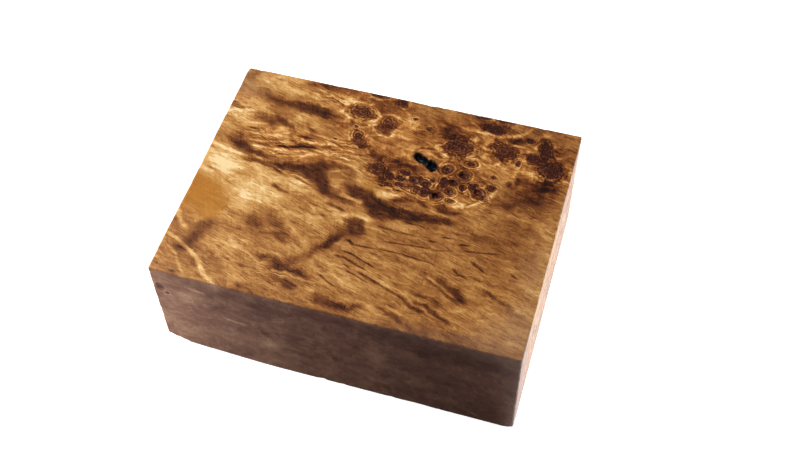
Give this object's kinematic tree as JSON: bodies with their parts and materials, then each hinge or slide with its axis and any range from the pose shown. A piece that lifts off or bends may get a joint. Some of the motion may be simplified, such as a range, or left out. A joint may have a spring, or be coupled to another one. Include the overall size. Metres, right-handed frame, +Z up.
{
  "type": "stabilized burl block",
  "caption": "Rectangular block of knotty burl wood, sawn and sanded flat on every face, with eased edges and one worn lower corner.",
  "frame": {"origin": "middle of the underside, on the surface that the block rests on", "axes": "+X along the block's longest edges, +Y along its middle edges and away from the picture's front, +Z up through its height"},
  "size_m": [0.12, 0.09, 0.044],
  "materials": {
    "burl_wood": "sanded and resin-stabilized, satin"
  },
  "bodies": {
    "root": {"burl_block": "burl_wood"}
  },
  "joints": []
}
